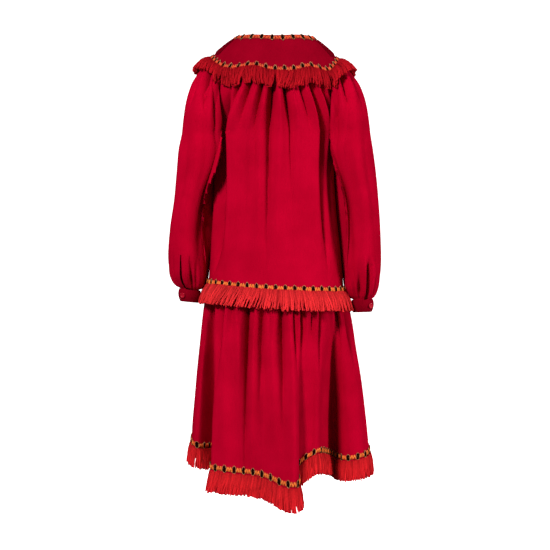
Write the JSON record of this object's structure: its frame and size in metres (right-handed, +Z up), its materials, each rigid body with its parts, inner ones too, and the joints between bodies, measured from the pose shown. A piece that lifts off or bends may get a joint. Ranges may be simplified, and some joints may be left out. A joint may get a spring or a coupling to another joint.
{
  "type": "folk dress",
  "caption": "Long-sleeved wool folk dress with a round braided yoke, gathered bodice, dropped-waist gathered skirt and rows of yarn fringe, filled out as if worn.",
  "frame": {"origin": "between the shoulders, at the height where the yoke rests on the wearer's shoulders, midway across", "axes": "+Z up, -Y out of the wearer's back (the pictured side), +X to the wearer's right"},
  "size_m": [0.5271, 0.4168, 1.1538],
  "materials": {
    "cloth": "matte crimson wool crepe",
    "braid": "woven orange braid with black ovals",
    "yarn": "matte tomato-red wool yarn",
    "button": "cloth-covered button"
  },
  "bodies": {
    "root": {"yoke_back": "cloth", "yoke_front": "cloth", "shoulder_band_left": "cloth", "shoulder_band_right": "cloth", "bodice_back": "cloth", "bodice_front": "cloth", "sleeve_left": "cloth", "sleeve_right": "cloth", "placket_left": "cloth", "placket_right": "cloth", "cuff_left": "cloth", "cuff_right": "cloth", "skirt_back": "cloth", "skirt_front": "cloth", "neck_braid": "braid", "yoke_braid": "braid", "waist_braid": "braid", "hem_braid": "braid", "yoke_fringe": "yarn", "waist_fringe": "yarn", "hem_fringe": "yarn", "cuff_button_left": "button", "cuff_button_right": "button"}
  },
  "joints": []
}
